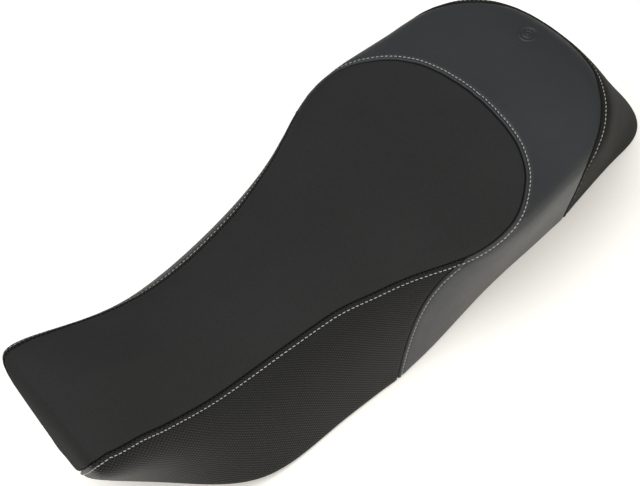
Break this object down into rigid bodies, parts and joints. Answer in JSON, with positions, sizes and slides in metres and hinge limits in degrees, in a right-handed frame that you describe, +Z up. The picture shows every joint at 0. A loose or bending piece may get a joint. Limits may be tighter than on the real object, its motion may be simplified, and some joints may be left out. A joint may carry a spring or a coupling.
{
  "type": "motorcycle seat",
  "caption": "Stepped dual motorcycle seat: moulded pan, foam cushion and sewn vinyl cover panels, with a front tongue, a lock striker loop and rubber rests underneath.",
  "frame": {"origin": "middle of the footprint, at the level of the pan's lower rim", "axes": "+X to the rider's left, +Y towards the tail, +Z up"},
  "size_m": [0.2806, 0.7583, 0.198],
  "materials": {
    "seat_pan": "moulded, lightly grained, black",
    "foam": "moulded polyurethane foam, matte",
    "grip_vinyl": "matte vinyl with a fine suede-like grip texture",
    "smooth_vinyl": "smooth vinyl with a soft sheen",
    "tail_vinyl": "smooth vinyl with a soft sheen",
    "embossed_vinyl": "vinyl embossed with fine rows of small raised lozenges",
    "black_steel": "satin black powder coat",
    "plated_steel": "zinc plated",
    "rubber": "moulded, matte black"
  },
  "bodies": {
    "root": {"seat_pan": "seat_pan", "foam_cushion": "foam", "centre_panel": "grip_vinyl", "rear_panel": "smooth_vinyl", "tail_panel": "tail_vinyl", "left_side_panel": "embossed_vinyl", "right_side_panel": "embossed_vinyl", "front_tongue": "black_steel", "striker_plate": "black_steel", "striker_loop": "plated_steel", "tongue_bolt_left": "plated_steel", "tongue_bolt_right": "plated_steel", "tongue_nut_left": "plated_steel", "tongue_nut_right": "plated_steel", "striker_bolt_left": "plated_steel", "striker_bolt_right": "plated_steel", "striker_nut_left": "plated_steel", "striker_nut_right": "plated_steel", "rubber_rest_1_left": "rubber", "rubber_rest_1_right": "rubber", "rubber_rest_2_left": "rubber", "rubber_rest_2_right": "rubber", "rubber_rest_3_left": "rubber", "rubber_rest_3_right": "rubber", "rubber_rest_4_left": "rubber", "rubber_rest_4_right": "rubber"}
  },
  "joints": []
}
